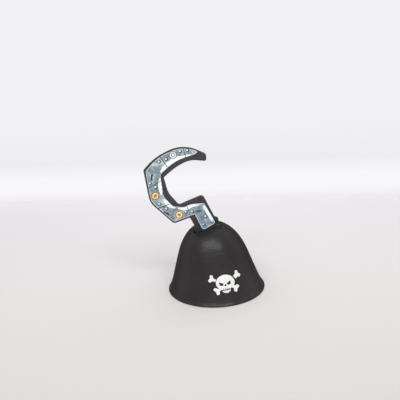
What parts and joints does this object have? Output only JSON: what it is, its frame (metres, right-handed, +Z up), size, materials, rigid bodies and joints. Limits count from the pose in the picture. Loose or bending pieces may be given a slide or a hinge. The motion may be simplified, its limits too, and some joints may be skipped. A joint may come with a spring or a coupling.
{
  "type": "pirate hook hand",
  "caption": "Toy pirate hook: a flat foam hook with printed faces rocks in the slotted crown of a black foam cup that covers the fist.",
  "frame": {"origin": "on the floor under the middle of the whole object's width and depth; the rim's centre lies 10 mm to the right (+X)", "axes": "+Z up through the crown, -Y towards the printed front with the skull, +X to the right of the front view, away from the leaning hook"},
  "size_m": [0.1395, 0.12, 0.1801],
  "materials": {
    "cup_foam": "satin moulded foam",
    "hook_foam": "matt cut foam",
    "printed_film": "satin printed film",
    "white_ink": "matt ink",
    "dowel_wood": "sanded",
    "grip_foam": "matt foam",
    "cap_plastic": "matt"
  },
  "bodies": {
    "cup": {"cup_shell": "cup_foam", "skull_transfer": "white_ink", "jaw_transfer": "white_ink", "upper_right_bone_transfer": "white_ink", "upper_left_bone_transfer": "white_ink", "lower_right_bone_transfer": "white_ink", "lower_left_bone_transfer": "white_ink"},
    "hook": {"hook_core": "hook_foam", "front_face_film": "printed_film", "back_face_film": "printed_film", "grip_rod": "dowel_wood", "front_grip_sleeve": "grip_foam", "rear_grip_sleeve": "grip_foam", "front_end_cap": "cap_plastic", "rear_end_cap": "cap_plastic"}
  },
  "joints": [
    {"name": "hook_rock", "type": "hinge", "parent": "cup", "child": "hook", "pos_m": [0.00177, -0.01, 0.084], "axis": [0, 0.9962, -0.0872], "range_deg": [0, 24]}
  ]
}
